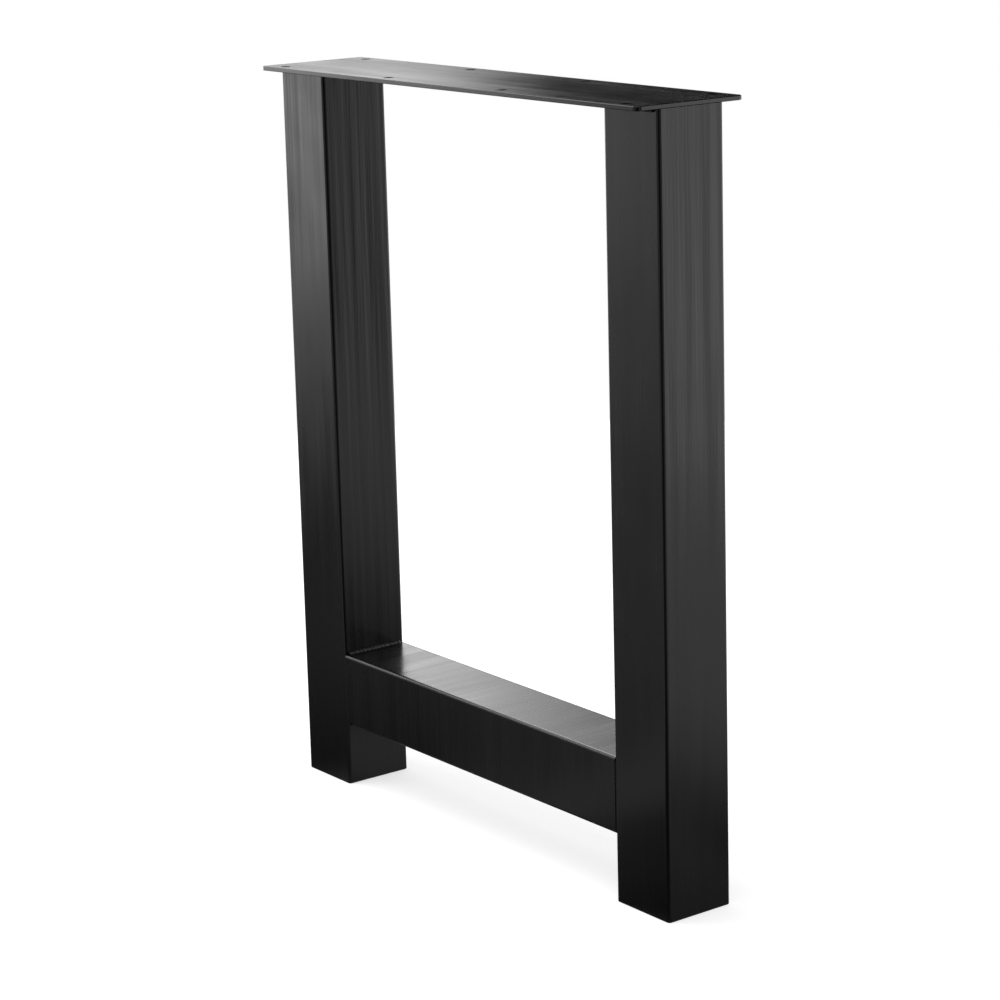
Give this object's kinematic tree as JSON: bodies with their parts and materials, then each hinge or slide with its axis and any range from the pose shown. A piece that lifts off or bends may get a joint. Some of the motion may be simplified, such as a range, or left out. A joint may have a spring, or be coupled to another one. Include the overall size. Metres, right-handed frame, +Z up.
{
  "type": "h-shaped table leg",
  "caption": "Welded H-shaped table leg of black square steel tube, with a drilled top plate that screws under a table top and plugged feet.",
  "frame": {"origin": "on the floor, midway between the two feet", "axes": "+Z up from the feet to the top plate, +X along the frame from the left upright to the right one, -Y towards the front"},
  "size_m": [0.55, 0.115, 0.7],
  "materials": {
    "coated_plate": "satin",
    "coated_tube": "satin",
    "coated_weld": "satin",
    "foot_plastic": "matt"
  },
  "bodies": {
    "root": {"top_plate": "coated_plate", "left_upright": "coated_tube", "right_upright": "coated_tube", "stretcher": "coated_tube", "left_plate_weld": "coated_weld", "right_plate_weld": "coated_weld", "left_stretcher_weld": "coated_weld", "right_stretcher_weld": "coated_weld", "left_foot_plug": "foot_plastic", "right_foot_plug": "foot_plastic"}
  },
  "joints": []
}
